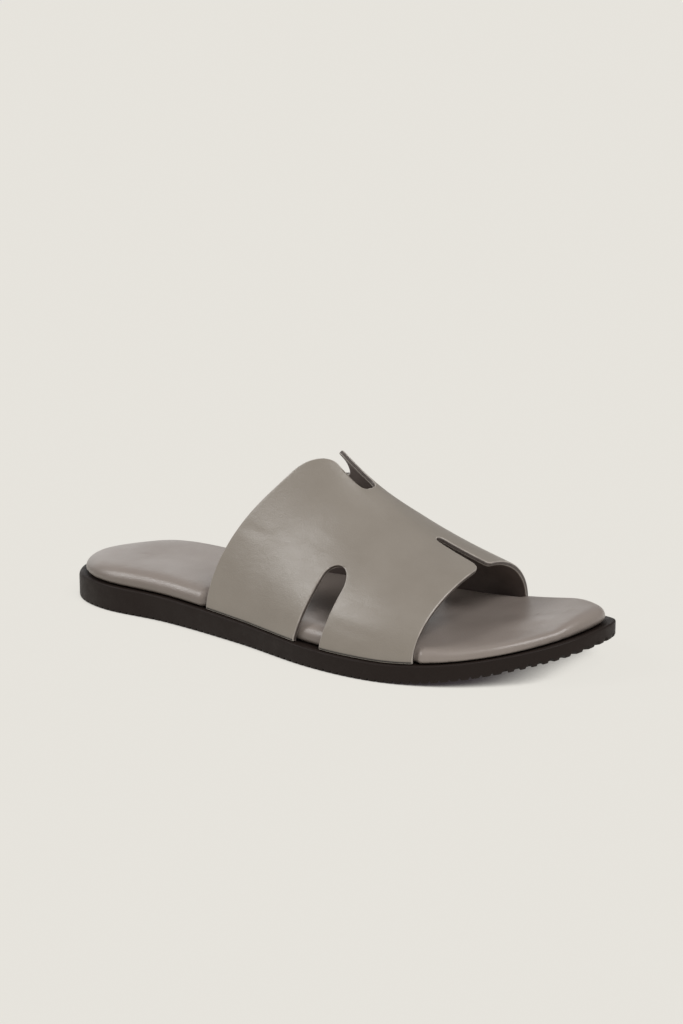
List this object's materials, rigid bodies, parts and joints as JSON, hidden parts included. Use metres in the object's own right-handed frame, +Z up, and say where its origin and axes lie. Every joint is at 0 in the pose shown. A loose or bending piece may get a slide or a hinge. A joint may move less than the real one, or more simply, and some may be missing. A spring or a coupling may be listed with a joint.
{
  "type": "slide sandal",
  "caption": "Right slide sandal: leather upper with top and side slots, padded footbed and ribbed rubber outsole, open at toe and heel.",
  "frame": {"origin": "on the floor below the middle of the sole", "axes": "+X towards the toe, +Y towards the inner side of the foot, +Z up"},
  "size_m": [0.285, 0.1078, 0.0861],
  "materials": {
    "outsole_rubber": "satin dark brown rubber",
    "footbed_leather": "soft semi-matt taupe leather over padding",
    "upper_leather": "smooth semi-gloss taupe-grey leather"
  },
  "bodies": {
    "root": {"outsole": "outsole_rubber", "footbed": "footbed_leather", "upper": "upper_leather"}
  },
  "joints": []
}
